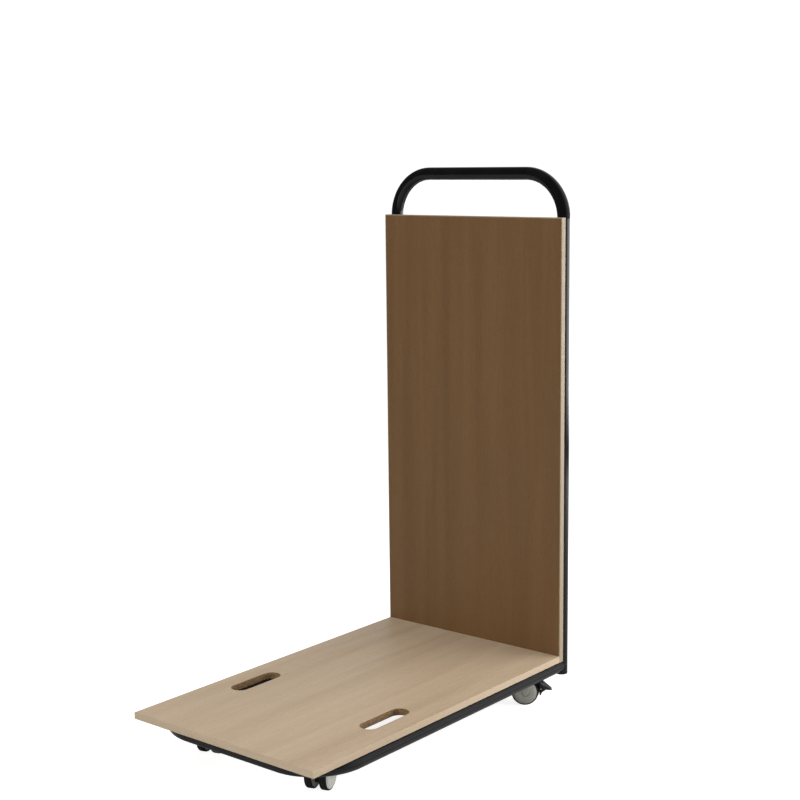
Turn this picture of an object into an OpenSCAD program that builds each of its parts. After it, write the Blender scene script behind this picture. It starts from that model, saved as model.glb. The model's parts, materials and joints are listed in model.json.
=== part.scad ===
// Stacking trolley: a flat deck and an upright back panel on a frame of bent round tube,
// rolling on four twin-wheel swivel castors, the rear pair with foot brakes.
// Millimetres. The origin is on the floor, under the middle of the overall footprint.
// +X is the trolley's right side, +Y its handle end and +Z is up.

/* [Deck] */
// Width of the deck over its edging, and of the whole trolley
deck_w = 510; // [460:5:600]
// Depth of the deck, from its front edge to the face of the back panel
deck_l = 842; // [760:2:960]
// Thickness of the deck board
deck_t = 15; // [14:1:22]
// Thickness of the edging strips on both boards
edge_t = 2; // [1:0.5:3]
// Radius on the outer corners of the edging strips
edge_round = 1; // [0.4:0.1:2]

/* [Deck slots] */
// Width of each slot through the deck
slot_w = 42; // [24:1:50]
// Length of each slot, over its round ends
slot_l = 138; // [70:2:160]
// Distance from the side of the deck to the slot's outer edge
slot_inset = 48; // [40:1:80]
// Distance from the front of the deck to the slot's front end
slot_front = 224; // [210:2:300]

/* [Back panel] */
// Height of the back panel, from the underside of the deck
panel_h = 1025; // [800:5:1200]
// Thickness of the back panel
panel_t = 15; // [12:1:22]

/* [Frame tube] */
// Outside diameter of all the frame tubes
tube_d = 30; // [28:1:34]
// Wall of the frame tubes
tube_wall = 2; // [1.5:0.1:3]
// Radius of the base tube's two bends, on the centreline
bend_r = 110; // [90:1:120]
// Radius of the handle tube's two bends, on the centreline
handle_bend_r = 100; // [85:1:120]
// Distance from the front of the deck to the centreline of the front rail
front_rail_set = 36; // [28:1:45]
// Height of the push bar's centreline above the top of the panel
handle_rise = 97; // [70:1:140]
// How far the uprights' feet reach below the base tube
foot_drop = 5; // [4:0.5:10]
// Thickness of the castor plates
plate_t = 6; // [4:0.5:8]

/* [Castors] */
// Diameter of each wheel over its tyre
wheel_d = 62; // [58:1:75]
// Width of each wheel
wheel_w = 16; // [14:0.5:20]
// Thickness of the tyre on the wheel disc
tyre_t = 3.5; // [2.5:0.1:5]
// Gap between the two wheels of a castor
wheel_gap = 16; // [15:0.5:20]
// Distance that the axle trails behind the swivel pin
trail = 22; // [18:0.5:26]
// Diameter of the axles
axle_d = 6; // [5:0.5:8]
// Diameter of the swivel pin inside the hood
pin_d = 9; // [7:0.5:10]
// Diameter of the castor stud through its plate
stud_d = 10; // [8:0.5:12]
// Wall of the castor hood
hood_wall = 2.8; // [2:0.1:4]
// Distance from the side of the deck to the front castors' swivel pins
front_castor_inset = 99; // [95:1:115]
// Distance from the front of the deck to the front castors' swivel pins
front_castor_set = 114; // [103:1:125]
// Distance from the side of the deck to the rear castors' swivel pins
rear_castor_inset = 79; // [72:1:100]
// Distance from the back panel to the rear castors' swivel pins
rear_castor_set = 66; // [45:1:90]
// Parked turn of the two front castors, in degrees
front_turn = 19; // [-180:1:180]
// Parked turn of the two rear castors, outwards, in degrees
rear_turn = 53; // [0:1:90]

/* [Brake pedals] */
// Width of the pedal at its hinge
pedal_w = 42; // [34:1:48]
// Width of the pedal at its tip
pedal_tip_w = 14; // [12:1:34]
// Reach of the pedal's tip behind the axle
pedal_reach = 63; // [58:1:66]
// Diameter of the pedal's hinge pin
hinge_d = 4; // [3:0.5:5]

/* [Screws] */
// Diameter of the board screws
screw_d = 5; // [4:0.5:6]
// Diameter of the countersunk screw heads
head_d = 10; // [8:0.5:11]
// How far the screws reach into the boards
screw_grip = 12; // [8:0.5:13]
// Spacing of the two screws in the front rail
front_screw_pitch = 160; // [100:5:220]

/* [Hidden] */
$fn = 64;
// Cuts run past the faces that they open by this much
overrun = 1;
// Gap left at welded and fitted curved faces
seat_gap = 0.1;
// Radial gap of a running fit
run_gap = 0.05;

// Screw places, as shares of the straight side rail and of the panel's height
rail_screw_shares = [0.1, 0.48, 0.82];
panel_screw_shares = [0.08, 0.36, 0.64, 0.92];
screw_gap = 0.2;
screw_tip = 5;
drive_af_share = 0.45;
drive_depth_share = 0.6;
head_h = (head_d - screw_d) / 2;

// Castor, measured from its swivel pin and the floor
wheel_r = wheel_d / 2;
tyre_round = 3;
disc_r = wheel_r - tyre_t;
disc_dome = 1.6;
disc_rim = 3;
disc_groove = 0.8;
groove_floor = wheel_w + disc_dome - 2 * disc_groove;
cap_share = 0.34;
axle_cover = 3;
tyre_gap = 1.7;
hood_side = 1;
hood_ri = wheel_r + tyre_gap;
hood_r = hood_ri + hood_wall;
hood_w = wheel_gap + 2 * (wheel_w + hood_side);
web_gap = 0.8;
web_t = wheel_gap - 2 * web_gap;
web_drop = 14;
web_r = hood_r - hood_wall / 2;
hub_rim = 6;
hub_r = axle_d / 2 + hub_rim;
open_angle = 8;
brake_angle = 42;
back_angle = 155;
boss_rim = 7;
boss_d = pin_d + 2 * boss_rim;
boss_rise = 3.2;
boss_top = wheel_r + hood_r + boss_rise;
pin_reach = 28;
clip_t = 1.2;
clip_rim = 1.8;
clip_gap = 0.3;
pin_end = 2;
notch_gap = 3;
notch_l = pin_d + 2 * (clip_rim + notch_gap);
collar_rim = 7.5;
collar_d = pin_d + 2 * collar_rim;
collar_t = 4;
collar_gap = 0.3;
castor_h = boss_top + collar_gap + collar_t;
stud_gap = 0.2;
nut_af_share = 1.7;
nut_h_share = 0.8;
nut_af = nut_af_share * stud_d;
nut_h = nut_h_share * stud_d;
stud_end = 1;

// Brake pedal, in the plane of the wheel and measured from the axle
hinge_set = 1.5;
hinge_back = hood_r + hinge_set;
hinge_up = 6;
lug_wall = 3.5;
lug_r = hinge_d / 2 + lug_wall;
pedal_hub_wall = 3;
pedal_hub_r = hinge_d / 2 + pedal_hub_wall;
hub_lap_share = 0.7;
pedal_side_gap = 0.4;
pedal_tip_t = 2.5;
pedal_tip_drop = 1;
pedal_top_set = 5.5;
pedal_top_back = hood_r + pedal_top_set;
pedal_top_up = 16;
pedal_root_lap = 3;
pedal_root_back = hood_r - pedal_root_lap;
pedal_root_up = 21.5;
shoe_gap = 3;
shoe_back = wheel_r + shoe_gap;
shoe_drop = 8.5;
shoe_t = 2.5;
heel_set = 4.5;
heel_back = hood_r + heel_set;
heel_drop = 0.5;
pedal_under_set = 13;
pedal_under_back = hood_r + pedal_under_set;
pedal_under_up = 3.5;
hinge_end = 3;

// Frame levels and lines
half_w = deck_w / 2;
tube_r = tube_d / 2;
frame_z = castor_h + plate_t / 2;
deck_z = frame_z + tube_r;
rail_x = half_w - tube_r;
overall_l = deck_l + panel_t + tube_d;
front_y = -overall_l / 2;
panel_y = front_y + deck_l;
upright_y = panel_y + panel_t + tube_r;
cross_y = panel_y;
rail_y = front_y + front_rail_set;
bend_x = rail_x - bend_r;
bend_y = rail_y + bend_r;
bar_z = deck_z + panel_h + handle_rise;
handle_bend_x = rail_x - handle_bend_r;
bend_z = bar_z - handle_bend_r;
foot_z = frame_z - tube_r - foot_drop;
plug_t = 3;
plug_depth = 14;
plate_reach = 45;
plate_corner = 38;
arc_steps = 12;

// Slots, from the middle of the trolley
slot_x = half_w - slot_inset - slot_w / 2;
slot_y = front_y + slot_front + slot_l / 2;

// Screw places: [x, y] in the deck and [x, z] in the panel
deck_screws_at = concat(
    [for (side = [-1, 1]) for (s = rail_screw_shares)
        [side * rail_x, bend_y + s * (panel_y - bend_y)]],
    [for (side = [-1, 1]) [side * front_screw_pitch / 2, rail_y]]
);
panel_screws_at = [for (side = [-1, 1]) for (s = panel_screw_shares)
    [side * rail_x, deck_z + s * panel_h]];
// Heads lie this deep at the crest of the tube, so that their rims are under its surface
rim_cover = 0.3;
head_sink = tube_r - sqrt(tube_r * tube_r - head_d * head_d / 4) + rim_cover;
screw_l = tube_d + screw_grip;

// Castors: name, side of the trolley and whether it is a rear one
corners = ["front_left", "front_right", "rear_left", "rear_right"];
sides = [-1, 1, -1, 1];
rears = [false, false, true, true];
function castor_x(i) = sides[i] * (half_w - (rears[i] ? rear_castor_inset : front_castor_inset));
function castor_y(i) = rears[i] ? panel_y - rear_castor_set : front_y + front_castor_set;
function castor_turn(i) = rears[i] ? -sides[i] * rear_turn : front_turn;

// Board sections and strips

// Edging section: the strip's thickness along X, the board's thickness along Y, outer corners round
module edging_section(thick, tall) {
    square([thick - edge_round, tall]);
    translate([0, edge_round])
        square([thick, tall - 2 * edge_round]);
    for (y = [edge_round, tall - edge_round])
        translate([thick - edge_round, y])
            circle(edge_round);
}

// Slot outline, along Y, about its own middle
module slot_outline() {
    square([slot_w, slot_l - slot_w], center = true);
    for (end = [-1, 1])
        translate([0, end * (slot_l - slot_w) / 2])
            circle(d = slot_w);
}

module deck_board() {
    color("#b7a289")
        difference() {
            translate([-half_w + edge_t, front_y + edge_t, deck_z])
                cube([deck_w - 2 * edge_t, deck_l - edge_t, deck_t]);
            for (side = [-1, 1])
                translate([side * slot_x, slot_y, deck_z - overrun])
                    linear_extrude(deck_t + 2 * overrun)
                        slot_outline();
            for (p = deck_screws_at)
                translate([p[0], p[1], deck_z - overrun])
                    cylinder(d = screw_d + 2 * screw_gap, h = screw_grip + overrun);
        }
}

module deck_front_edging() {
    color("#d8c3a5")
        translate([-half_w + edge_t, front_y + edge_t, deck_z])
            rotate([90, 0, 90])
                linear_extrude(deck_w - 2 * edge_t)
                    mirror([1, 0])
                        edging_section(edge_t, deck_t);
}

module deck_side_edging(side) {
    color("#d8c3a5")
        translate([side * (half_w - edge_t), front_y + deck_l, deck_z])
            mirror([side < 0 ? 1 : 0, 0, 0])
                rotate([90, 0, 0])
                    linear_extrude(deck_l)
                        edging_section(edge_t, deck_t);
}

module back_panel() {
    color("#a98a68")
        difference() {
            translate([-half_w + edge_t, panel_y, deck_z])
                cube([deck_w - 2 * edge_t, panel_t, panel_h - edge_t]);
            for (p = panel_screws_at)
                translate([p[0], panel_y + panel_t + overrun, p[1]])
                    rotate([90, 0, 0])
                        cylinder(d = screw_d + 2 * screw_gap, h = screw_grip + overrun);
        }
}

module panel_top_edging() {
    color("#d8c3a5")
        translate([half_w - edge_t, panel_y, deck_z + panel_h - edge_t])
            rotate([0, -90, 0])
                linear_extrude(deck_w - 2 * edge_t)
                    edging_section(edge_t, panel_t);
}

module panel_side_edging(side) {
    color("#d8c3a5")
        translate([side * (half_w - edge_t), panel_y, deck_z])
            mirror([side < 0 ? 1 : 0, 0, 0])
                linear_extrude(panel_h)
                    edging_section(edge_t, panel_t);
}

// Frame of bent tube

// Quarter bend of round bar, about Z, from +X to +Y, of radius r on its centreline
module quarter_bend(d, r) {
    rotate_extrude(angle = 90)
        translate([r, 0])
            circle(d = d);
}

// Straight side rails of the base tube, as bars of diameter d
module side_rails(d) {
    for (side = [-1, 1])
        translate([side * rail_x, upright_y, frame_z])
            rotate([90, 0, 0])
                cylinder(d = d, h = upright_y - bend_y);
}

// Base tube as a bar of diameter d: two side rails, two bends and the front rail
module base_bar(d) {
    side_rails(d);
    for (side = [-1, 1])
        translate([side * bend_x, bend_y, frame_z])
            mirror([side < 0 ? 1 : 0, 0, 0])
                rotate([0, 0, -90])
                    quarter_bend(d, bend_r);
    translate([-bend_x, rail_y, frame_z])
        rotate([0, 90, 0])
            cylinder(d = d, h = 2 * bend_x);
}

// Handle tube as a bar of diameter d: two uprights, two bends and the push bar
module handle_bar(d) {
    for (side = [-1, 1]) {
        translate([side * rail_x, upright_y, foot_z + plug_t])
            cylinder(d = d, h = bend_z - foot_z - plug_t);
        translate([side * handle_bend_x, upright_y, bend_z])
            mirror([side < 0 ? 1 : 0, 0, 0])
                rotate([90, 0, 0])
                    quarter_bend(d, handle_bend_r);
    }
    translate([-handle_bend_x, upright_y, bar_z])
        rotate([0, 90, 0])
            cylinder(d = d, h = 2 * handle_bend_x);
}

// Both uprights as solid posts, for coping what is welded to them
module upright_posts() {
    for (side = [-1, 1])
        translate([side * rail_x, upright_y, foot_z])
            cylinder(d = tube_d + 2 * seat_gap, h = bend_z - foot_z);
}

// Rear cross tube as a bar of diameter d, from one side rail's axis to the other's
module cross_bar(d) {
    translate([-rail_x, cross_y, frame_z])
        rotate([0, 90, 0])
            cylinder(d = d, h = 2 * rail_x);
}

module base_tube() {
    color("#141416")
        difference() {
            base_bar(tube_d);
            base_bar(tube_d - 2 * tube_wall);
            upright_posts();
            at_deck_screws()
                screw_hole();
        }
}

module handle_tube() {
    color("#141416")
        difference() {
            handle_bar(tube_d);
            handle_bar(tube_d - 2 * tube_wall);
            for (side = [-1, 1])
                translate([side * rail_x, upright_y, foot_z])
                    cylinder(d = tube_d - 2 * tube_wall, h = plug_depth);
            at_panel_screws()
                screw_hole();
        }
}

module rear_cross_tube() {
    color("#141416")
        difference() {
            cross_bar(tube_d);
            cross_bar(tube_d - 2 * tube_wall);
            side_rails(tube_d + 2 * seat_gap);
        }
}

// Plugs in the feet of the uprights: a flush head and a shank inside the tube
module tube_end_plugs() {
    color("#202022")
        for (side = [-1, 1])
            translate([side * rail_x, upright_y, foot_z]) {
                cylinder(d = tube_d, h = plug_t);
                cylinder(d = tube_d - 2 * tube_wall - 2 * seat_gap, h = plug_depth);
            }
}

// Outline of a front castor plate on the right, from the bend's centreline to inside the castor
module front_plate_outline() {
    inner_x = half_w - front_castor_inset - plate_reach;
    inner_y = front_y + front_castor_set + plate_reach;
    polygon(concat(
        [[inner_x, rail_y]],
        [for (k = [0 : arc_steps])
            let (a = -90 + k * 90 / arc_steps)
            [bend_x + bend_r * cos(a), bend_y + bend_r * sin(a)]],
        [[rail_x, max(inner_y, bend_y)],
         [inner_x + plate_corner, inner_y],
         [inner_x, inner_y - plate_corner]]
    ));
}

// Outline of a rear castor plate on the right, from the tubes' centrelines to inside the castor
module rear_plate_outline() {
    inner_x = half_w - rear_castor_inset - plate_reach;
    inner_y = panel_y - rear_castor_set - plate_reach;
    polygon([
        [inner_x, cross_y],
        [inner_x, inner_y + plate_corner],
        [inner_x + plate_corner, inner_y],
        [rail_x, inner_y],
        [rail_x, cross_y]
    ]);
}

module castor_plate(i) {
    color("#141416")
        difference() {
            mirror([sides[i] < 0 ? 1 : 0, 0, 0])
                translate([0, 0, castor_h])
                    linear_extrude(plate_t)
                        if (rears[i]) rear_plate_outline();
                        else front_plate_outline();
            if (rears[i]) {
                side_rails(tube_d + 2 * seat_gap);
                cross_bar(tube_d + 2 * seat_gap);
            } else {
                base_bar(tube_d + 2 * seat_gap);
            }
            translate([castor_x(i), castor_y(i), castor_h - overrun])
                cylinder(d = stud_d + 2 * stud_gap, h = plate_t + 2 * overrun);
        }
}

// Screws

// Countersunk board screw: the crest of the tube is at zero, and the screw runs along +Z
module board_screw() {
    difference() {
        rotate_extrude()
            polygon([
                [0, head_sink],
                [head_d / 2, head_sink],
                [screw_d / 2, head_sink + head_h],
                [screw_d / 2, screw_l - screw_tip],
                [0, screw_l]
            ]);
        translate([0, 0, head_sink - overrun])
            cylinder(d = head_d * drive_af_share, h = head_h * drive_depth_share + overrun, $fn = 6);
    }
}

// Hole for a board screw through both walls of a tube, countersunk in the outer one
module screw_hole() {
    hole_r = screw_d / 2 + seat_gap;
    sink_r = head_d / 2 + seat_gap;
    rotate_extrude()
        polygon([
            [0, -overrun],
            [sink_r, -overrun],
            [sink_r, head_sink],
            [hole_r, head_sink + head_h],
            [hole_r, tube_d + overrun],
            [0, tube_d + overrun]
        ]);
}

// Puts a screw or its hole under the base tube at each deck screw
module at_deck_screws() {
    for (p = deck_screws_at)
        translate([p[0], p[1], frame_z - tube_r])
            children();
}

// Puts a screw or its hole behind the uprights at each panel screw
module at_panel_screws() {
    for (p = panel_screws_at)
        translate([p[0], upright_y + tube_r, p[1]])
            rotate([90, 0, 0])
                rotate([0, 0, 90])
                    children();
}

module deck_screws() {
    color("#8f9194")
        at_deck_screws()
            board_screw();
}

module panel_screws() {
    color("#8f9194")
        at_panel_screws()
            board_screw();
}

// Castors. Each is drawn about its swivel pin, with its axle along X and trailing along +Y

module at_castor(i) {
    translate([castor_x(i), castor_y(i), 0])
        rotate([0, 0, castor_turn(i)])
            children();
}

// Draws in the plane of the wheel: back from the axle along X, up along Y, and along the axle on Z
module in_wheel_plane() {
    translate([0, trail, wheel_r])
        rotate([90, 0, 90])
            children();
}

module castor_nuts() {
    color("#8f9194")
        for (i = [0 : len(corners) - 1])
            translate([castor_x(i), castor_y(i), castor_h + plate_t])
                difference() {
                    cylinder(d = nut_af / cos(30), h = nut_h, $fn = 6);
                    translate([0, 0, -overrun])
                        cylinder(d = stud_d + 2 * run_gap, h = nut_h + 2 * overrun);
                }
}

// Clips on the lower ends of the swivel pins, which keep the hoods on
module stem_clips() {
    color("#8f9194")
        for (i = [0 : len(corners) - 1])
            translate([castor_x(i), castor_y(i), boss_top - pin_reach - clip_gap - clip_t])
                difference() {
                    cylinder(d = pin_d + 2 * clip_rim, h = clip_t);
                    translate([0, 0, -overrun])
                        cylinder(d = pin_d + 2 * run_gap, h = clip_t + 2 * overrun);
                }
}

// Stem: swivel pin below, round collar against the plate, threaded stud above
module castor_stem() {
    pin_low = boss_top - pin_reach - clip_gap - clip_t - pin_end;
    color("#a9abae") {
        translate([0, 0, pin_low])
            cylinder(d = pin_d, h = castor_h - collar_t - pin_low);
        translate([0, 0, castor_h - collar_t])
            cylinder(d = collar_d, h = collar_t);
        translate([0, 0, castor_h])
            cylinder(d = stud_d, h = plate_t + nut_h + stud_end);
    }
}

// Web of the hood, between the wheels: half a disc, its hub and the lug for a brake pedal
module hood_web_outline(braked) {
    difference() {
        intersection() {
            circle(web_r);
            translate([-hood_r, -web_drop])
                square([2 * hood_r, web_drop + hood_r]);
        }
        translate([-trail - notch_l / 2 - hood_r, -hood_r])
            square([notch_l + hood_r, boss_top - pin_reach - wheel_r + hood_r]);
    }
    circle(hub_r);
    if (braked)
        translate([hinge_back, hinge_up])
            circle(lug_r);
}

module castor_hood(braked) {
    front_angle = braked ? brake_angle : open_angle;
    color("#232325")
        difference() {
            union() {
                in_wheel_plane() {
                    linear_extrude(web_t, center = true)
                        hood_web_outline(braked);
                    rotate([0, 0, front_angle])
                        rotate_extrude(angle = back_angle - front_angle)
                            translate([hood_ri - overrun, -hood_w / 2])
                                square([hood_wall + overrun, hood_w]);
                }
                translate([0, 0, wheel_r])
                    cylinder(d = boss_d, h = boss_top - wheel_r);
            }
            // Room for the two wheels
            in_wheel_plane()
                for (side = [0, 1])
                    mirror([0, 0, side])
                        translate([0, 0, web_t / 2])
                            cylinder(r = hood_ri, h = hood_w);
            // Below the swivel pin's clip
            translate([0, 0, boss_top - pin_reach - boss_d])
                cylinder(d = boss_d + 2 * overrun, h = boss_d);
            translate([0, 0, -overrun])
                cylinder(d = pin_d + 2 * run_gap, h = boss_top + 2 * overrun);
            in_wheel_plane() {
                cylinder(d = axle_d + 2 * run_gap, h = hood_w, center = true);
                if (braked)
                    translate([hinge_back, hinge_up])
                        cylinder(d = hinge_d + 2 * run_gap, h = hood_w, center = true);
            }
        }
}

module castor_axle() {
    color("#a9abae")
        in_wheel_plane()
            cylinder(d = axle_d, h = wheel_gap + 2 * (wheel_w - axle_cover) - 2 * clip_gap, center = true);
}

// Wheel disc: blind bore from the inner face, domed outer face with a rim, a groove and a centre cap
module wheel_disc() {
    color("#8d8f8d")
        difference() {
            rotate_extrude() {
                square([disc_r, wheel_w]);
                intersection() {
                    translate([0, wheel_w + disc_dome - disc_r * disc_r / disc_dome])
                        circle(disc_r * disc_r / disc_dome, $fn = 400);
                    translate([0, wheel_w])
                        square([disc_r - disc_rim, disc_dome]);
                }
            }
            translate([0, 0, -overrun])
                cylinder(d = axle_d + 2 * run_gap, h = wheel_w - axle_cover + overrun);
            translate([0, 0, groove_floor])
                difference() {
                    cylinder(r = disc_r * cap_share, h = 2 * disc_groove + overrun);
                    translate([0, 0, -overrun])
                        cylinder(r = disc_r * cap_share - disc_groove, h = 2 * disc_groove + 3 * overrun);
                }
        }
}

// Tyre: a ring with round shoulders, pressed on the disc
module tyre() {
    color("#1d1d1f")
        rotate_extrude() {
            translate([disc_r + run_gap, 0])
                square([tyre_t - tyre_round - run_gap, wheel_w]);
            translate([disc_r + run_gap, tyre_round])
                square([tyre_t - run_gap, wheel_w - 2 * tyre_round]);
            for (y = [tyre_round, wheel_w - tyre_round])
                translate([wheel_r - tyre_round, y])
                    intersection() {
                        circle(tyre_round);
                        translate([-tyre_t + tyre_round + run_gap, -tyre_round])
                            square([tyre_t - run_gap, 2 * tyre_round]);
                    }
        }
}

// Puts a wheel piece on the outer or the inner end of a castor's axle
module at_wheel(i, outer) {
    end = outer ? sides[i] : -sides[i];
    at_castor(i)
        in_wheel_plane()
            mirror([0, 0, end < 0 ? 1 : 0])
                translate([0, 0, wheel_gap / 2])
                    children();
}

// Side outline of the brake pedal: a wedge from its root over the hinge to its tip, and the shoe
module pedal_outline() {
    polygon([
        [pedal_root_back, pedal_root_up],
        [pedal_root_back + pedal_tip_t, pedal_root_up + pedal_tip_t],
        [pedal_top_back, pedal_top_up],
        [pedal_reach, -pedal_tip_drop + pedal_tip_t],
        [pedal_reach, -pedal_tip_drop],
        [pedal_under_back, pedal_under_up],
        [heel_back, -heel_drop],
        [shoe_back + shoe_t, -shoe_drop],
        [shoe_back, -shoe_drop],
        [hinge_back - pedal_hub_r * hub_lap_share, hinge_up]
    ]);
}

// Plan outline of the brake pedal, which narrows from the lug to its tip
module pedal_plan() {
    polygon([
        [0, -pedal_w / 2],
        [hinge_back + lug_r, -pedal_w / 2],
        [pedal_reach, -pedal_tip_w / 2],
        [pedal_reach, pedal_tip_w / 2],
        [hinge_back + lug_r, pedal_w / 2],
        [0, pedal_w / 2]
    ]);
}

// Brake pedal: it hinges on the hood's lug, with a shoe beside each tyre
module brake_pedal() {
    color("#1a1a1c")
        in_wheel_plane()
            difference() {
                union() {
                    intersection() {
                        linear_extrude(pedal_w, center = true)
                            pedal_outline();
                        rotate([90, 0, 0])
                            linear_extrude(2 * pedal_reach, center = true)
                                pedal_plan();
                    }
                    translate([hinge_back, hinge_up])
                        cylinder(r = pedal_hub_r, h = pedal_w, center = true);
                }
                // Slot for the hood's lug and web
                translate([0, -pedal_reach, -web_t / 2 - pedal_side_gap])
                    cube([hinge_back + lug_r + overrun, 2 * pedal_reach, web_t + 2 * pedal_side_gap]);
                translate([hinge_back, hinge_up])
                    cylinder(d = hinge_d + 2 * run_gap, h = pedal_w + 2 * overrun, center = true);
            }
}

module brake_pedal_pin() {
    color("#a9abae")
        in_wheel_plane()
            translate([hinge_back, hinge_up])
                cylinder(d = hinge_d, h = pedal_w - hinge_end, center = true);
}

// Boards and frame
deck_board();
deck_front_edging();
deck_side_edging(-1);  // deck_left_edging
deck_side_edging(1);  // deck_right_edging
back_panel();
panel_top_edging();
panel_side_edging(-1);  // panel_left_edging
panel_side_edging(1);  // panel_right_edging
base_tube();
handle_tube();
rear_cross_tube();
tube_end_plugs();
deck_screws();
panel_screws();
castor_nuts();
stem_clips();

// Castors
for (i = [0 : len(corners) - 1]) {
    castor_plate(i);
    at_castor(i) castor_stem();
    at_castor(i) castor_hood(rears[i]);
    at_castor(i) castor_axle();
    at_wheel(i, true) wheel_disc();
    at_wheel(i, true) tyre();
    at_wheel(i, false) wheel_disc();
    at_wheel(i, false) tyre();
}

// Brakes on the rear castors
at_castor(2) brake_pedal();  // rear_left_brake_pedal
at_castor(2) brake_pedal_pin();  // rear_left_brake_pedal_pin
at_castor(3) brake_pedal();  // rear_right_brake_pedal
at_castor(3) brake_pedal_pin();  // rear_right_brake_pedal_pin
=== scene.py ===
# Looks of a stacking trolley: beech-faced boards on a bent tube frame, rolling on four twin-wheel castors.
# Metres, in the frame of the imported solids: +X is the trolley's right side, +Y its handle end and +Z is up.
import json
import math

import bpy
from mathutils import Matrix, Vector


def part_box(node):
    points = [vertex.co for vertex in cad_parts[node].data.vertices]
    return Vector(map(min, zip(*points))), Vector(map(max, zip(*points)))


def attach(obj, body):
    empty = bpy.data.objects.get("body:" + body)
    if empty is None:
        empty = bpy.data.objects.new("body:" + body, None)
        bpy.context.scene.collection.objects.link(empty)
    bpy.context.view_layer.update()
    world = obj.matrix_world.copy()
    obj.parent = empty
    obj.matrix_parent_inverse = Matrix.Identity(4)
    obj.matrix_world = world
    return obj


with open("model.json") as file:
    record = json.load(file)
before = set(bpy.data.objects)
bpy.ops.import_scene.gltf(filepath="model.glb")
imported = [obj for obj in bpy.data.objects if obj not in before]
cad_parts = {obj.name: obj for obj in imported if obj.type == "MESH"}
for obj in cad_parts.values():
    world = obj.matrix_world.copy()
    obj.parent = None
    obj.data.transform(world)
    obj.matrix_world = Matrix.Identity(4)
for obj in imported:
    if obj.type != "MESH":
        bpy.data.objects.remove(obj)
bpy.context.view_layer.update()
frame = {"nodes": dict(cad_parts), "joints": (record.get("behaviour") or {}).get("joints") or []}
nodes = frame["nodes"]
joints = {joint["name"]: joint for joint in frame["joints"]}
bpy.ops.object.select_all(action="DESELECT")


# Tube frame
# Round steel tube, 30 mm, bent cold: a U lying under the deck, an inverted U behind it and one cross tube.
# Steel plates for the castors are let into its corners, and the whole frame is powder coated gloss black.

def add_node(tree, kind, inputs=None, **settings):
    """Adds a shader node; inputs are values or sockets to link, by the name or number of the input."""
    made = tree.nodes.new(kind)
    for name, value in settings.items():
        setattr(made, name, value)
    for socket, value in (inputs or {}).items():
        if isinstance(value, bpy.types.NodeSocket):
            tree.links.new(value, made.inputs[socket])
        else:
            made.inputs[socket].default_value = value
    return made


def new_group(name, inputs, outputs):
    """Starts a shader node group and returns its tree, its input node and its output node."""
    tree = bpy.data.node_groups.new(name, "ShaderNodeTree")
    for way, sockets in (("INPUT", inputs), ("OUTPUT", outputs)):
        for socket, kind in sockets.items():
            tree.interface.new_socket(socket, in_out=way, socket_type="NodeSocket" + kind)
    return tree, tree.nodes.new("NodeGroupInput"), tree.nodes.new("NodeGroupOutput")


def ramp(tree, value, low, high, start, end):
    """Maps a value from the range low to high onto start to end, held at both ends."""
    return add_node(tree, "ShaderNodeMapRange", {0: value, 1: low, 2: high, 3: start, 4: end}).outputs[0]


def blend_colour(tree, share, first, second):
    """Mixes two colours, values or sockets."""
    made = add_node(tree, "ShaderNodeMix", {0: share, 6: first, 7: second}, data_type="RGBA")
    return made.outputs[2]


def paint(red, green, blue):
    """Linear colour from the 0 to 255 values that a screen shows."""
    def linear(value):
        share = value / 255
        return share / 12.92 if share <= 0.04045 else ((share + 0.055) / 1.055) ** 2.4
    return linear(red), linear(green), linear(blue), 1


def new_finish(name):
    """Starts a material and returns it, its tree, its shader and its Object coordinates."""
    material = bpy.data.materials.new(name)
    material.use_nodes = True
    tree = material.node_tree
    place = add_node(tree, "ShaderNodeTexCoord").outputs["Object"]
    return material, tree, tree.nodes["Principled BSDF"], place


def add_bump(tree, shader, height, depth, strength):
    bump = add_node(tree, "ShaderNodeBump", {"Height": height, "Distance": depth, "Strength": strength})
    tree.links.new(bump.outputs[0], shader.inputs["Normal"])


def dress(material, *names):
    """Gives solids of the frame their finish."""
    for name in names:
        nodes[name].data.materials.clear()
        nodes[name].data.materials.append(material)


def coat_skin_group():
    """Orange peel of a baked coat, and the soft scuffs that handling leaves on it."""
    tree, given, out = new_group(
        "coat_skin",
        {"Vector": "Vector", "Peel scale": "Float", "Scuff scale": "Float"},
        {"Height": "Float", "Scuffs": "Float"})
    peel = add_node(tree, "ShaderNodeTexNoise", {
        "Vector": given.outputs["Vector"], "Scale": given.outputs["Peel scale"], "Detail": 2})
    scuff = add_node(tree, "ShaderNodeTexNoise", {
        "Vector": given.outputs["Vector"], "Scale": given.outputs["Scuff scale"],
        "Detail": 6, "Roughness": 0.62, "Distortion": 0.8})
    tree.links.new(peel.outputs[0], out.inputs["Height"])
    tree.links.new(ramp(tree, scuff.outputs[0], 0.48, 0.72, 0, 1), out.inputs["Scuffs"])
    return tree


def powder_coat():
    gloss, scuffed = 0.1, 0.2
    peel_scale, peel_depth, peel_strength = 900, 0.00006, 0.1
    scuff_scale = 14
    material, tree, shader, place = new_finish("black_powder_coat")
    skin = add_node(tree, "ShaderNodeGroup", node_tree=coat_skin)
    tree.links.new(place, skin.inputs["Vector"])
    skin.inputs["Peel scale"].default_value = peel_scale
    skin.inputs["Scuff scale"].default_value = scuff_scale
    scuffs = skin.outputs["Scuffs"]
    tree.links.new(blend_colour(tree, scuffs, paint(9, 9, 10), paint(15, 15, 16)),
                   shader.inputs["Base Color"])
    tree.links.new(ramp(tree, scuffs, 0, 1, gloss, scuffed), shader.inputs["Roughness"])
    shader.inputs["Specular IOR Level"].default_value = 0.3
    add_bump(tree, shader, skin.outputs["Height"], peel_depth, peel_strength)
    return material


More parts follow.
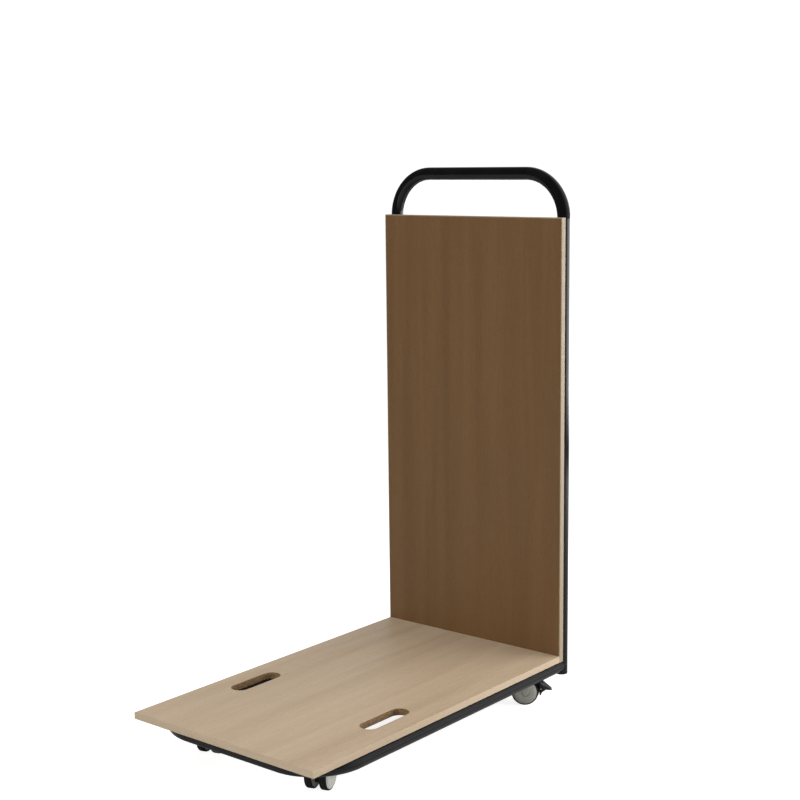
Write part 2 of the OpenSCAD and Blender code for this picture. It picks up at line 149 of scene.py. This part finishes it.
coat_skin = coat_skin_group()
frame_black = powder_coat()
corners = ["front_left", "front_right", "rear_left", "rear_right"]
dress(frame_black, "base_tube", "handle_tube", "rear_cross_tube",
      *[corner + "_castor_plate" for corner in corners])


def ease(width, *names):
    """Rounds the sharp edges of solids by a live modifier, over faces joined where they lie flat."""
    same_point = 0.00002
    flat_angle = math.radians(0.3)
    sharp_angle = math.radians(35)
    for name in names:
        weld = nodes[name].modifiers.new("joined_faces", "WELD")
        weld.merge_threshold = same_point
        flat = nodes[name].modifiers.new("flat_faces", "DECIMATE")
        flat.decimate_type = "DISSOLVE"
        flat.angle_limit = flat_angle
        edge = nodes[name].modifiers.new("eased_edges", "BEVEL")
        edge.width = width
        edge.segments = 3
        edge.limit_method = "ANGLE"
        edge.angle_limit = sharp_angle


ease(0.0008, *[corner + "_castor_plate" for corner in corners])


# Welds of the frame
# Ropy beads where the rails meet the uprights and the cross tube meets the rails, and short stitches
# along the castor plates. They lie under the same black coat as the tubes.

def weld_bead(name, runs, bead_radius):
    """One piece of ropy beads: each run is a list of points, and one that ends at its start is a ring."""
    ripple_length = 0.0028
    ripple_depth = 0.16
    end_taper = 0.55
    line = bpy.data.curves.new(name, "CURVE")
    line.dimensions = "3D"
    line.bevel_depth = bead_radius
    line.bevel_resolution = 3
    line.use_fill_caps = True
    for run in runs:
        ring = (run[0] - run[-1]).length < bead_radius / 10
        points = run[:-1] if ring else run
        spline = line.splines.new("POLY")
        spline.use_cyclic_u = ring
        spline.points.add(len(points) - 1)
        travelled = 0
        for k, point in enumerate(points):
            travelled += (point - points[k - 1]).length if k else 0
            spline.points[k].co = (*point, 1)
            spline.points[k].radius = 1 + ripple_depth * math.sin(math.tau * travelled / ripple_length)
            if not ring and k in (0, len(points) - 1):
                spline.points[k].radius *= end_taper
    bead = bpy.data.objects.new(name, line)
    bpy.context.collection.objects.link(bead)
    bpy.ops.object.select_all(action="DESELECT")
    bead.select_set(True)
    bpy.context.view_layer.objects.active = bead
    bpy.ops.object.convert(target="MESH")
    bead = bpy.context.object
    bpy.ops.object.shade_smooth()
    bead.data.materials.append(frame_black)
    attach(bead, "frame")
    bead.select_set(False)


bead_radius = 0.0019
tube_low, tube_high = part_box("base_tube")
handle_low, handle_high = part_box("handle_tube")
cross_low, cross_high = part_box("rear_cross_tube")
tube_r = (tube_high.z - tube_low.z) / 2
rail_x = tube_high.x - tube_r
frame_z = tube_low.z + tube_r
upright_y = handle_high.y - tube_r
cross_y = (cross_low.y + cross_high.y) / 2
turn_steps = 180
kink_ease = 0.0025


def saddle(side, kind):
    """Ring where a tube of the frame ends on another of the same size, at the rail on one side."""
    ring = []
    for k in range(turn_steps + 1):
        turn = math.tau * k / turn_steps
        across, up = tube_r * math.cos(turn), tube_r * math.sin(turn)
        if kind == "upright":
            back = math.hypot(up, kink_ease)
            ring.append(Vector((side * rail_x + across, upright_y - back, frame_z + up)))
        else:
            back = math.hypot(across, kink_ease)
            ring.append(Vector((side * (rail_x - back), cross_y + across, frame_z + up)))
    return ring


weld_bead("upright_welds", [saddle(side, "upright") for side in (-1, 1)], bead_radius)
weld_bead("cross_tube_welds", [saddle(side, "cross") for side in (-1, 1)], bead_radius)

bend_r = 0.110
bend_x = rail_x - bend_r
bend_y = tube_low.y + tube_r + bend_r
stitch_steps = 60
stitch_length = 0.038
stitch_radius = bead_radius * 0.9
bend_angles = -72, -45, -18
rail_shares = 0.22, 0.75
cross_share = 0.3
plate_low, plate_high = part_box("front_right_castor_plate")
rear_low, rear_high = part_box("rear_right_castor_plate")


def straight_stitch(start, along):
    """A stitch of the usual length from a point, along one axis."""
    return [start + along * stitch_length * k / stitch_steps for k in range(stitch_steps + 1)]


def bend_stitch(side, reach, middle, level):
    """A stitch of the usual length on the inside of a front bend, about an angle in degrees."""
    half = math.degrees(stitch_length / reach) / 2
    stitch = []
    for k in range(stitch_steps + 1):
        angle = math.radians(middle - half + 2 * half * k / stitch_steps)
        out, ahead = bend_x + reach * math.cos(angle), bend_y + reach * math.sin(angle)
        stitch.append(Vector((side * out, ahead, level)))
    return stitch


def plate_stitches():
    """Stitches above and below each plate: round the front bends, and along the rear rails and cross tube."""
    stitches = []
    seam = math.sqrt(tube_r ** 2 - ((plate_high.z - plate_low.z) / 2) ** 2)
    for side in (-1, 1):
        for level in (plate_low.z - bead_radius / 3, plate_high.z + bead_radius / 3):
            for middle in bend_angles:
                stitches.append(bend_stitch(side, bend_r - seam, middle, level))
            for share in rail_shares:
                start = rear_low.y + share * (rear_high.y - rear_low.y) - stitch_length / 2
                end = Vector((side * (rail_x - seam), start, level))
                stitches.append(straight_stitch(end, Vector((0, 1, 0))))
            start = rear_low.x + cross_share * (rear_high.x - rear_low.x) - stitch_length / 2
            end = Vector((side * start, cross_y - seam, level))
            stitches.append(straight_stitch(end, Vector((side, 0, 0))))
    return stitches


weld_bead("castor_plate_welds", plate_stitches(), stitch_radius)


# Tube end plugs
# Black polythene mouldings, one pressed into the foot of each upright, with a flush head.

def moulding_grain_group():
    """Fine sparked grain of a moulding tool, with faint cloudy shine over it."""
    tree, given, out = new_group(
        "moulding_grain",
        {"Vector": "Vector", "Grain scale": "Float", "Cloud scale": "Float"},
        {"Height": "Float", "Clouds": "Float"})
    grain = add_node(tree, "ShaderNodeTexNoise", {
        "Vector": given.outputs["Vector"], "Scale": given.outputs["Grain scale"], "Detail": 3})
    cloud = add_node(tree, "ShaderNodeTexNoise", {
        "Vector": given.outputs["Vector"], "Scale": given.outputs["Cloud scale"],
        "Detail": 4, "Distortion": 0.4})
    tree.links.new(grain.outputs[0], out.inputs["Height"])
    tree.links.new(ramp(tree, cloud.outputs[0], 0.35, 0.65, 0, 1), out.inputs["Clouds"])
    return tree


def moulded_plastic(name, dark, pale, smooth, rough, grain_scale, grain_depth):
    """A moulded plastic whose shade and shine drift between two values."""
    cloud_scale = 60
    grain_strength = 0.2
    material, tree, shader, place = new_finish(name)
    grain = add_node(tree, "ShaderNodeGroup", node_tree=moulding_grain)
    tree.links.new(place, grain.inputs["Vector"])
    grain.inputs["Grain scale"].default_value = grain_scale
    grain.inputs["Cloud scale"].default_value = cloud_scale
    clouds = grain.outputs["Clouds"]
    tree.links.new(blend_colour(tree, clouds, dark, pale), shader.inputs["Base Color"])
    tree.links.new(ramp(tree, clouds, 0, 1, smooth, rough), shader.inputs["Roughness"])
    shader.inputs["Specular IOR Level"].default_value = 0.3
    add_bump(tree, shader, grain.outputs["Height"], grain_depth, grain_strength)
    return material


moulding_grain = moulding_grain_group()
polythene_black = moulded_plastic(
    "polythene_black", paint(20, 20, 22), paint(28, 28, 30),
    smooth=0.42, rough=0.55, grain_scale=1800, grain_depth=0.0001)
dress(polythene_black, "tube_end_plugs")
ease(0.0009, "tube_end_plugs")


# Zinc plated steel
# Castor stems, nuts, clips, axles and hinge pins, and the screws that hold the boards to the tubes.
# Bright zinc: a hard metal shine that is clouded where the plating is thicker.

def zinc_plate():
    cloud_scale, fine_scale = 240, 2600
    bright, clouded = 0.24, 0.42
    fine_depth, fine_strength = 0.00005, 0.25
    material, tree, shader, place = new_finish("zinc_plate")
    cloud = add_node(tree, "ShaderNodeTexNoise", {
        "Vector": place, "Scale": cloud_scale, "Detail": 5, "Roughness": 0.6})
    fine = add_node(tree, "ShaderNodeTexNoise", {"Vector": place, "Scale": fine_scale, "Detail": 2})
    clouds = ramp(tree, cloud.outputs[0], 0.35, 0.68, 0, 1)
    tree.links.new(blend_colour(tree, clouds, paint(205, 207, 210), paint(168, 168, 166)),
                   shader.inputs["Base Color"])
    tree.links.new(ramp(tree, clouds, 0, 1, bright, clouded), shader.inputs["Roughness"])
    shader.inputs["Metallic"].default_value = 1
    add_bump(tree, shader, fine.outputs[0], fine_depth, fine_strength)
    return material


bright_zinc = zinc_plate()
brakes = ["rear_left_brake", "rear_right_brake"]
dress(bright_zinc, "castor_nuts", "stem_clips", "deck_screws", "panel_screws",
      *[corner + "_castor_" + piece for corner in corners for piece in ("stem", "axle")],
      *[brake + "_pedal_pin" for brake in brakes])
ease(0.0005, "castor_nuts", *[corner + "_castor_stem" for corner in corners])
ease(0.0003, "deck_screws", "panel_screws", "stem_clips")


# Castor hoods
# Black nylon mouldings that straddle the two wheels of a castor and turn on its stem.

nylon_black = moulded_plastic(
    "nylon_black", paint(22, 22, 23), paint(30, 30, 31),
    smooth=0.4, rough=0.56, grain_scale=1500, grain_depth=0.00012)
dress(nylon_black, *[corner + "_castor_hood" for corner in corners])
ease(0.0007, *[corner + "_castor_hood" for corner in corners])


# Wheels
# A pale grey nylon disc on each end of the axle, with a soft black tyre moulded on it.
# The discs are satin and a little marked; the tyres are matt, with floor dust in their grain.

def wheel_nylon():
    grain_scale, grain_depth, grain_strength = 1400, 0.00008, 0.15
    mark_scale, mark_share = 90, 0.5
    satin, marked = 0.32, 0.46
    material, tree, shader, place = new_finish("wheel_nylon_grey")
    grain = add_node(tree, "ShaderNodeGroup", node_tree=moulding_grain)
    tree.links.new(place, grain.inputs["Vector"])
    grain.inputs["Grain scale"].default_value = grain_scale
    grain.inputs["Cloud scale"].default_value = mark_scale
    marks = ramp(tree, grain.outputs["Clouds"], 0.55, 1, 0, mark_share)
    tree.links.new(blend_colour(tree, marks, paint(187, 187, 177), paint(165, 165, 155)),
                   shader.inputs["Base Color"])
    tree.links.new(ramp(tree, grain.outputs["Clouds"], 0, 1, satin, marked), shader.inputs["Roughness"])
    add_bump(tree, shader, grain.outputs["Height"], grain_depth, grain_strength)
    return material


def tyre_rubber():
    grain_scale, grain_depth, grain_strength = 900, 0.00015, 0.3
    dust_scale, dust_share = 130, 0.35
    clean, dusty = 0.62, 0.85
    material, tree, shader, place = new_finish("tyre_rubber")
    grain = add_node(tree, "ShaderNodeGroup", node_tree=moulding_grain)
    tree.links.new(place, grain.inputs["Vector"])
    grain.inputs["Grain scale"].default_value = grain_scale
    grain.inputs["Cloud scale"].default_value = dust_scale
    dust = ramp(tree, grain.outputs["Clouds"], 0.4, 1, 0, dust_share)
    tree.links.new(blend_colour(tree, dust, paint(20, 20, 21), paint(52, 51, 48)),
                   shader.inputs["Base Color"])
    shader.inputs["Specular IOR Level"].default_value = 0.25
    tree.links.new(ramp(tree, dust, 0, dust_share, clean, dusty), shader.inputs["Roughness"])
    add_bump(tree, shader, grain.outputs["Height"], grain_depth, grain_strength)
    return material


wheels = [corner + "_" + place for corner in corners for place in ("outer", "inner")]
dress(wheel_nylon(), *[wheel + "_disc" for wheel in wheels])
dress(tyre_rubber(), *[wheel + "_tyre" for wheel in wheels])
ease(0.0005, *[wheel + "_disc" for wheel in wheels])


# Brake pedals
# A nylon pedal on each rear castor, hinged on the hood's lug, with a shoe beside each tyre.

pedal_black = moulded_plastic(
    "pedal_black", paint(14, 14, 15), paint(20, 20, 21),
    smooth=0.36, rough=0.5, grain_scale=1500, grain_depth=0.00012)
dress(pedal_black, *[brake + "_pedal" for brake in brakes])
ease(0.0008, *[brake + "_pedal" for brake in brakes])


def grip_ribs(brake):
    """Four raised ribs across the sloping top of a pedal, moulded with it."""
    hinge_back, hinge_up = 0.037, 0.006
    top_back, top_up = 0.041, 0.016
    tip_back, tip_up = 0.063, 0.0015
    wide_back, wide_half, tip_half = 0.0425, 0.021, 0.007
    side_margin = 0.0016
    rib_thick, rib_high, rib_round = 0.0015, 0.0018, 0.0006
    rib_backs = 0.0465, 0.0500, 0.0535, 0.0570
    press = joints[brake + "_press"]
    hinge = Vector(press["pos_m"])
    across = -Vector(press["axis"])
    back = Vector((-across.y, across.x, 0))
    up = Vector((0, 0, 1))
    slope = ((tip_back - top_back) * back + (tip_up - top_up) * up).normalized()
    lie = Matrix((across, slope, across.cross(slope))).transposed().to_4x4()
    ribs = []
    for rib_back in rib_backs:
        share = (rib_back - top_back) / (tip_back - top_back)
        narrowing = (rib_back - wide_back) / (tip_back - wide_back)
        half = wide_half + (tip_half - wide_half) * narrowing - side_margin
        rib_up = top_up + share * (tip_up - top_up)
        bpy.ops.mesh.primitive_cube_add(size=1)
        rib = bpy.context.object
        bpy.ops.object.mode_set(mode="EDIT")
        bpy.ops.transform.resize(value=(2 * half, rib_thick, rib_high))
        bpy.ops.mesh.bevel(offset=rib_round, segments=3)
        bpy.ops.object.mode_set(mode="OBJECT")
        place = hinge + (rib_back - hinge_back) * back + (rib_up - hinge_up) * up
        rib.data.transform(Matrix.Translation(place) @ lie)
        ribs.append(rib)
    bpy.ops.object.select_all(action="DESELECT")
    for rib in ribs:
        rib.select_set(True)
    bpy.context.view_layer.objects.active = ribs[0]
    bpy.ops.object.join()
    grip = bpy.context.object
    grip.name = brake + "_grip"
    bpy.ops.object.shade_smooth_by_angle(angle=math.radians(40))
    grip.data.materials.append(pedal_black)
    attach(grip, brake)
    grip.select_set(False)


for brake in brakes:
    grip_ribs(brake)


# Deck board
# A 15 mm particle board faced with beech, its grain along the trolley, with two slots cut through it
# near the sides. The pressed chips of its core show in the walls of the slots, their browns partly darkened
# as painted shade.

def beech_grain_group():
    """Beech: slow drifting tone, fine fibres and short dark flecks, all drawn out along the first axis."""
    drift_scale, fibre_scale, fleck_scale = 22, 620, 900
    long_draw, short_draw = (0.05, 1, 1), (0.2, 1, 1)
    fibre_share, fleck_share = 0.35, 0.4
    tree, given, out = new_group(
        "beech_grain",
        {"Vector": "Vector", "Pale": "Color", "Deep": "Color", "Fleck": "Color"},
        {"Color": "Color", "Fibres": "Float", "Height": "Float"})
    long_way = add_node(tree, "ShaderNodeMapping", {"Vector": given.outputs["Vector"], "Scale": long_draw})
    short_way = add_node(tree, "ShaderNodeMapping", {"Vector": given.outputs["Vector"], "Scale": short_draw})
    drift = add_node(tree, "ShaderNodeTexNoise", {
        "Vector": long_way.outputs[0], "Scale": drift_scale, "Detail": 4, "Distortion": 0.5})
    fibre = add_node(tree, "ShaderNodeTexNoise", {
        "Vector": long_way.outputs[0], "Scale": fibre_scale, "Detail": 4, "Roughness": 0.6})
    fleck = add_node(tree, "ShaderNodeTexNoise", {
        "Vector": short_way.outputs[0], "Scale": fleck_scale, "Detail": 1})
    drifts = ramp(tree, drift.outputs[0], 0.34, 0.66, 0, 1)
    fibres = ramp(tree, fibre.outputs[0], 0.34, 0.66, 0, 1)
    flecks = ramp(tree, fleck.outputs[0], 0.62, 0.7, 0, fleck_share)
    tone = add_node(tree, "ShaderNodeMix", {0: fibre_share, 2: drifts, 3: fibres}).outputs[0]
    board = blend_colour(tree, tone, given.outputs["Pale"], given.outputs["Deep"])
    tree.links.new(blend_colour(tree, flecks, board, given.outputs["Fleck"]), out.inputs["Color"])
    tree.links.new(fibres, out.inputs["Fibres"])
    pores = add_node(tree, "ShaderNodeMath", {0: fibres, 1: flecks}, operation="SUBTRACT")
    tree.links.new(pores.outputs[0], out.inputs["Height"])
    return tree


def chip_core_group():
    """Core of a particle board: pressed chips of several browns, with small gaps between them."""
    tree, given, out = new_group(
        "chip_core",
        {"Vector": "Vector", "Chip scale": "Float", "Pale": "Color", "Deep": "Color"},
        {"Color": "Color", "Height": "Float"})
    chip = add_node(tree, "ShaderNodeTexVoronoi", {
        "Vector": given.outputs["Vector"], "Scale": given.outputs["Chip scale"]})
    shade = add_node(tree, "ShaderNodeSeparateColor", {"Color": chip.outputs["Color"]}).outputs[0]
    chips = blend_colour(tree, shade, given.outputs["Pale"], given.outputs["Deep"])
    tree.links.new(chips, out.inputs["Color"])
    tree.links.new(ramp(tree, chip.outputs["Distance"], 0.2, 0.7, 1, 0), out.inputs["Height"])
    return tree


def beech(name, turn, pale, deep, fleck):
    """A lacquered beech face; turn is the rotation that brings its grain onto the first axis."""
    pore_lacquer, fibre_lacquer = 0.42, 0.54
    grain_depth, grain_strength = 0.00006, 0.3
    material, tree, shader, place = new_finish(name)
    lie = add_node(tree, "ShaderNodeMapping", {"Vector": place, "Rotation": turn})
    grain = add_node(tree, "ShaderNodeGroup", node_tree=beech_grain)
    tree.links.new(lie.outputs[0], grain.inputs["Vector"])
    grain.inputs["Pale"].default_value = pale
    grain.inputs["Deep"].default_value = deep
    grain.inputs["Fleck"].default_value = fleck
    tree.links.new(grain.outputs["Color"], shader.inputs["Base Color"])
    lacquer = ramp(tree, grain.outputs["Fibres"], 0, 1, pore_lacquer, fibre_lacquer)
    tree.links.new(lacquer, shader.inputs["Roughness"])
    shader.inputs["Specular IOR Level"].default_value = 0.3
    add_bump(tree, shader, grain.outputs["Height"], grain_depth, grain_strength)
    return material


def faced_board(name, turn, pale, deep, fleck, thick_axis):
    """A beech face on both sides of a board, and the chips of its core on the cut edges."""
    chip_scale = 420
    material = beech(name, turn, pale, deep, fleck)
    tree = material.node_tree
    shader = tree.nodes["Principled BSDF"]
    coords = tree.nodes["Texture Coordinate"]
    core = add_node(tree, "ShaderNodeGroup", node_tree=chip_core)
    tree.links.new(coords.outputs["Object"], core.inputs["Vector"])
    core.inputs["Chip scale"].default_value = chip_scale
    # The chips' own browns, darkened further as painted shade for the depth of the slots.
    core.inputs["Pale"].default_value = paint(142, 116, 84)
    core.inputs["Deep"].default_value = paint(104, 79, 53)
    facing = add_node(tree, "ShaderNodeSeparateXYZ", {0: coords.outputs["Normal"]}).outputs[thick_axis]
    flat = add_node(tree, "ShaderNodeMath", {0: facing}, operation="ABSOLUTE").outputs[0]
    cut = ramp(tree, flat, 0.5, 0.7, 1, 0)
    face = shader.inputs["Base Color"].links[0].from_socket
    tree.links.new(blend_colour(tree, cut, face, core.outputs["Color"]), shader.inputs["Base Color"])
    return material


beech_grain = beech_grain_group()
chip_core = chip_core_group()
along = (0, 0, math.radians(90))
upwards = (0, math.radians(90), 0)
across = (0, 0, 0)
deck_shades = paint(190, 170, 144), paint(172, 150, 124), paint(140, 114, 86)
dress(faced_board("deck_beech", along, *deck_shades, thick_axis="Z"), "deck_board")
ease(0.0004, "deck_board")


# Deck edging
# Two millimetre strips of the deck's own beech, glued round its front and sides, their corners rounded over.

edging_shades = paint(184, 166, 142), paint(169, 149, 125), paint(140, 117, 92)
dress(beech("edging_along", along, *edging_shades), "deck_left_edging", "deck_right_edging")
dress(beech("edging_across", across, *edging_shades), "deck_front_edging")


# Back panel
# The same board standing behind the deck, its grain upright. Its face is the deck's beech painted a deeper
# brown as painted shade, and its edging is painted in a shade between the two, also as painted shade.

# Painted shade: these browns are the deck's beech darkened to stand for shade on the panel's face.
panel_painted_shade_colours = paint(111, 83, 53), paint(97, 71, 44), paint(71, 50, 30)
dress(faced_board("panel_beech_painted_shade", upwards, *panel_painted_shade_colours, thick_axis="Y"), "back_panel")
ease(0.0004, "back_panel")
# Painted shade: the edging's tones are darkened to lie between the deck's and the panel's.
panel_edging_painted_shade_colours = paint(148, 132, 111), paint(135, 119, 99), paint(111, 93, 73)
dress(beech("panel_edging_upright_painted_shade", upwards, *panel_edging_painted_shade_colours),
      "panel_left_edging", "panel_right_edging")
dress(beech("panel_edging_across_painted_shade", across, *panel_edging_painted_shade_colours), "panel_top_edging")


# Floor
# A plain pale sweep that fades out to the white of the room, seen only from above.

def floor_sweep():
    shown_near, shown_far = 1.1, 3.2
    mirrored_near, mirrored_far = 3.6, 5.2
    grey = 0.6, 0.6, 0.6, 1
    shown_glow = 0.84
    material = bpy.data.materials.new("floor_sweep")
    material.use_nodes = True
    tree = material.node_tree
    shader = tree.nodes["Principled BSDF"]
    place = add_node(tree, "ShaderNodeTexCoord").outputs["Object"]
    reach = add_node(tree, "ShaderNodeVectorMath", {0: place}, operation="LENGTH").outputs["Value"]
    under = add_node(tree, "ShaderNodeNewGeometry").outputs["Backfacing"]
    path = add_node(tree, "ShaderNodeLightPath").outputs["Is Camera Ray"]
    seen = add_node(tree, "ShaderNodeMix", {
        0: path, 2: ramp(tree, reach, mirrored_near, mirrored_far, 1, 0),
        3: ramp(tree, reach, shown_near, shown_far, 1, 0)}).outputs[0]
    above = add_node(tree, "ShaderNodeMath", {0: 1, 1: under}, operation="SUBTRACT").outputs[0]
    solid = add_node(tree, "ShaderNodeMath", {0: seen, 1: above}, operation="MULTIPLY")
    tree.links.new(solid.outputs[0], shader.inputs["Alpha"])
    shader.inputs["Base Color"].default_value = grey
    shader.inputs["Roughness"].default_value = 0.9
    shader.inputs["Emission Color"].default_value = (1, 1, 1, 1)
    tree.links.new(ramp(tree, path, 0, 1, 0, shown_glow), shader.inputs["Emission Strength"])
    return material


floor_radius = 5.4
bpy.ops.mesh.primitive_circle_add(vertices=96, radius=floor_radius, fill_type="NGON", location=(0, 0, 0))
floor = bpy.context.object
floor.name = "floor"
floor.data.materials.append(floor_sweep())
floor.select_set(False)


# Studio light
# A dim room, white behind the trolley and brightest along the floor there, and three soft boxes:
# overhead, in front and low at the right.
# The boxes light the boards without showing as streaks in the gloss of the tubes.

def soft_box(name, place, aim, width, height, power):
    light = bpy.data.lights.new(name, "AREA")
    light.shape = "RECTANGLE"
    light.size = width
    light.size_y = height
    light.energy = power
    box = bpy.data.objects.new(name, light)
    bpy.context.collection.objects.link(box)
    box.location = place
    box.rotation_euler = (Vector(aim) - Vector(place)).to_track_quat("-Z", "Y").to_euler()
    box.visible_glossy = False


def white_room():
    dim, wall, far_floor, shown = 0.1, 0.9, 4.6, 1.05
    white_side = 0.352, 0.936, 0
    white_start, white_full = 0.1, 0.7
    far_floor_below = -0.03
    world = bpy.data.worlds.new("white_room")
    world.use_nodes = True
    tree = world.node_tree
    way = add_node(tree, "ShaderNodeTexCoord").outputs["Generated"]
    facing = add_node(tree, "ShaderNodeVectorMath", {0: way, 1: white_side}, operation="DOT_PRODUCT")
    white = ramp(tree, facing.outputs["Value"], white_start, white_full, 0, 1)
    height = add_node(tree, "ShaderNodeSeparateXYZ", {0: way}).outputs["Z"]
    path = add_node(tree, "ShaderNodeLightPath")
    low = ramp(tree, height, far_floor_below, 0, far_floor, 0)
    gain = add_node(tree, "ShaderNodeMath", {
        0: low, 1: path.outputs["Is Glossy Ray"], 2: wall}, operation="MULTIPLY_ADD")
    light = add_node(tree, "ShaderNodeMath", {
        0: white, 1: gain.outputs[0], 2: dim}, operation="MULTIPLY_ADD")
    strength = add_node(tree, "ShaderNodeMix", {
        0: path.outputs["Is Camera Ray"], 2: light.outputs[0], 3: shown})
    tree.links.new(strength.outputs[0], tree.nodes["Background"].inputs["Strength"])
    tree.nodes["Background"].inputs["Color"].default_value = (1, 1, 1, 1)
    return world


bpy.context.scene.world = white_room()
bpy.context.scene.view_settings.view_transform = "Standard"
soft_box("overhead_box", place=(0.2, -0.3, 3.4), aim=(0, 0, 0), width=2.4, height=2.4, power=56)
soft_box("front_box", place=(-0.6, -4.6, 1.4), aim=(0, 0, 0.5), width=2.6, height=1.8, power=143)
soft_box("right_box", place=(2.2, 2.0, 0.75), aim=(0, 0, 0.3), width=2.6, height=1.4, power=105)


# Camera
# It stands in front of the trolley's right front corner, a little above the push bar, and looks down on it.

yaw = math.radians(39.423)
pitch = math.radians(9.070)
roll = math.radians(-0.639)
camera_place = 2.1075, -2.4262, 1.2493
focal_length = 67.93
back = Vector((math.sin(yaw) * math.cos(pitch), -math.cos(yaw) * math.cos(pitch), math.sin(pitch)))
level = Vector((math.cos(yaw), math.sin(yaw), 0))
upright = back.cross(level)
right = math.cos(roll) * level + math.sin(roll) * upright
lens = bpy.data.cameras.new("camera")
lens.sensor_width = 36
lens.lens = focal_length
camera = bpy.data.objects.new("camera", lens)
bpy.context.collection.objects.link(camera)
turn = Matrix((right, back.cross(right), back)).transposed().to_4x4()
camera.matrix_world = Matrix.Translation(camera_place) @ turn
bpy.context.scene.camera = camera
